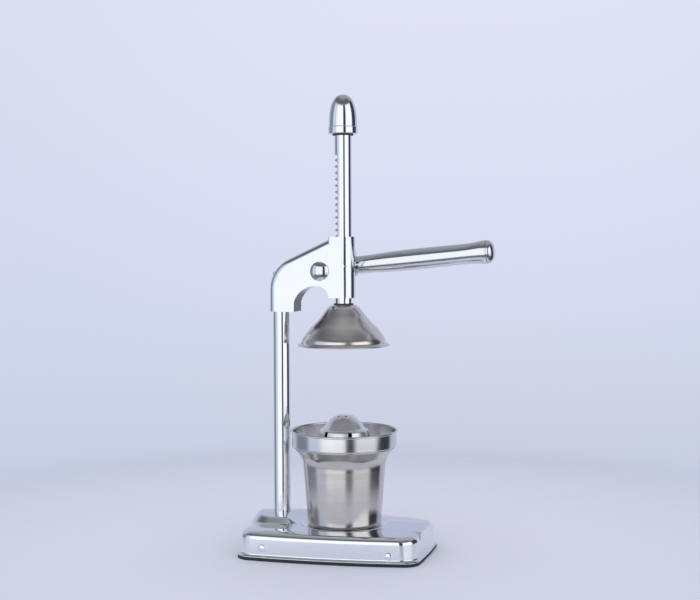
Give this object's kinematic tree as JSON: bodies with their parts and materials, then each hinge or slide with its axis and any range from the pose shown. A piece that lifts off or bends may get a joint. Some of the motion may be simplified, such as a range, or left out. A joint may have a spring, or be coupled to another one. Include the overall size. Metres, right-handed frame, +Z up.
{
  "type": "lever citrus juice press",
  "caption": "Free-standing citrus press: a lever turns a pinion that drives a toothed rod and press dome down over a strainer and cup, on a pressed chromed base.",
  "frame": {"origin": "on the floor, under the common axis of the rod, the press dome and the cup", "axes": "+Z up along the rod, +X from the column towards the lever's free end, +Y to the side that the lever hangs on"},
  "size_m": [0.2158, 0.1146, 0.3976],
  "materials": {
    "pad_rubber": "matt black sheet rubber",
    "base_chrome": "bright chrome on pressed steel",
    "inner_steel": "plain zinc-plated steel",
    "fastener_steel": "plated fastener",
    "column_chrome": "bright chrome on ground rod",
    "cast_chrome": "bright chrome on polished casting",
    "gear_steel": "machined steel",
    "lever_chrome": "bright chrome, lightly handled",
    "washer_brass": "plain brass",
    "rod_chrome": "bright chrome on ground rod",
    "bumper_rubber": "dark rubber",
    "dome_steel": "spun stainless steel, satin",
    "cup_steel": "drawn stainless steel, satin",
    "strainer_steel": "drawn stainless steel, half bright"
  },
  "bodies": {
    "root": {"rubber_pad": "pad_rubber", "base_shell": "base_chrome", "base_stiffener": "inner_steel", "base_rivets": "base_chrome", "column_rod": "column_chrome", "column_spacer": "inner_steel", "column_washer": "fastener_steel", "column_nut": "fastener_steel", "head_casting": "cast_chrome", "column_set_screw": "fastener_steel", "bearing_plate": "inner_steel", "bearing_plate_screws": "fastener_steel"},
    "lever": {"pinion": "gear_steel", "pinion_shaft": "gear_steel", "shaft_cap": "lever_chrome", "pinion_key": "gear_steel", "hub_key": "gear_steel", "hub_thrust_washer": "washer_brass", "lever_hub": "lever_chrome", "hub_nut": "fastener_steel", "lever_handle": "lever_chrome", "lever_end_cap": "lever_chrome"},
    "rod": {"rack_rod": "rod_chrome", "rod_cap": "rod_chrome", "cap_bumper": "bumper_rubber", "press_dome": "dome_steel", "dome_washer": "bumper_rubber", "dome_nut": "fastener_steel"},
    "cup": {"cup": "cup_steel"},
    "strainer": {"strainer": "strainer_steel"}
  },
  "joints": [
    {"name": "lever_swing", "type": "hinge", "parent": "root", "child": "lever", "pos_m": [-0.0185, 0, 0.2446], "axis": [0, 1, 0], "range_deg": [-20, 50]},
    {"name": "rod_slide", "type": "slide", "parent": "root", "child": "rod", "axis": [0, 0, -1], "range_m": [-0.0046, 0.0115]},
    {"name": "cup_lift", "type": "slide", "parent": "root", "child": "cup", "axis": [0, 0, 1], "range_m": [0, 0.012]},
    {"name": "strainer_lift", "type": "slide", "parent": "cup", "child": "strainer", "axis": [0, 0, 1], "range_m": [0, 0.036]}
  ],
  "couplings": [
    {"joint": "rod_slide", "follows": "lever_swing", "m_per_rad": 0.013125}
  ]
}
